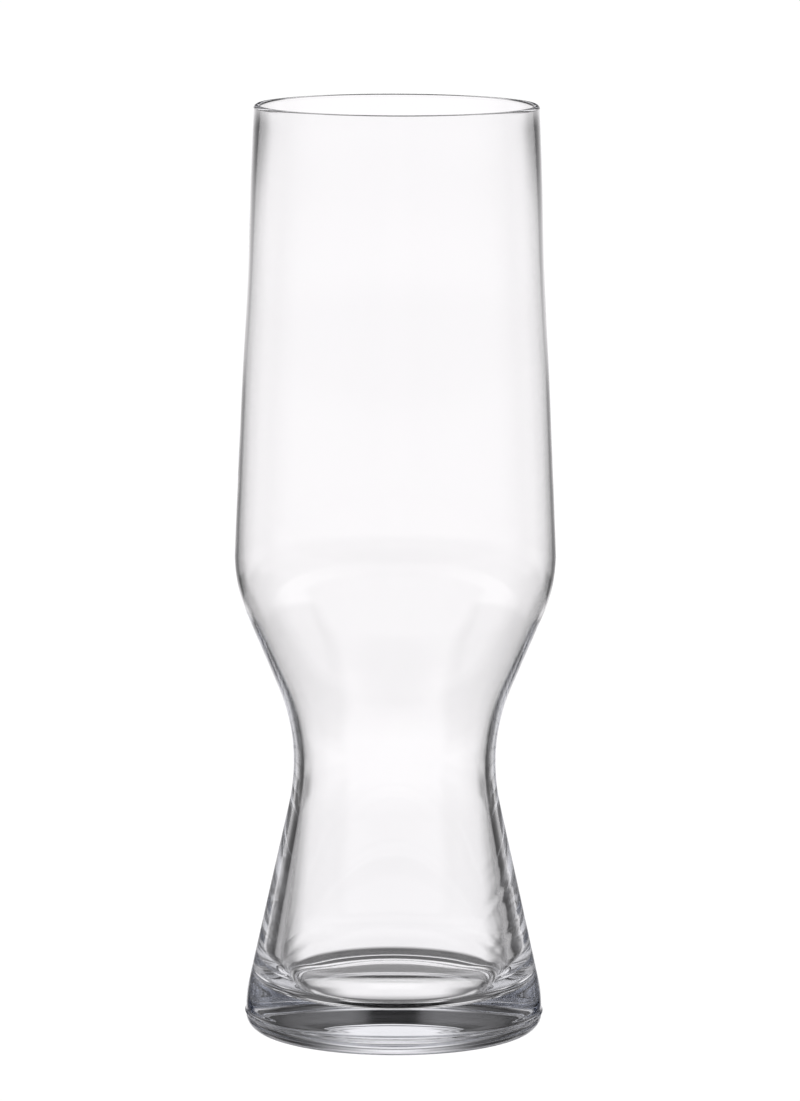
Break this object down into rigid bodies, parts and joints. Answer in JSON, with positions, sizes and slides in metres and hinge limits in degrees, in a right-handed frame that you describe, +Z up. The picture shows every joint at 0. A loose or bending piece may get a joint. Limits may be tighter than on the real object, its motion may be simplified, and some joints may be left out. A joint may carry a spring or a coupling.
{
  "type": "weizen glass",
  "caption": "Tall clear wheat-beer glass with a leaning bowl, rounded shoulder, narrow waist and flared skirt on a thick foot, for serving half a litre with head room.",
  "frame": {"origin": "middle of the foot on the surface that the glass stands on", "axes": "+Z up along the glass's axis of revolution, from the foot to the lip; X and Y are free"},
  "size_m": [0.0794, 0.0794, 0.23],
  "materials": {
    "clear_glass": "clear, fire-polished, faintly wavy in the thick lower wall"
  },
  "bodies": {
    "root": {"rim": "clear_glass", "bowl": "clear_glass", "shoulder": "clear_glass", "waist": "clear_glass", "skirt": "clear_glass", "base": "clear_glass"}
  },
  "joints": []
}
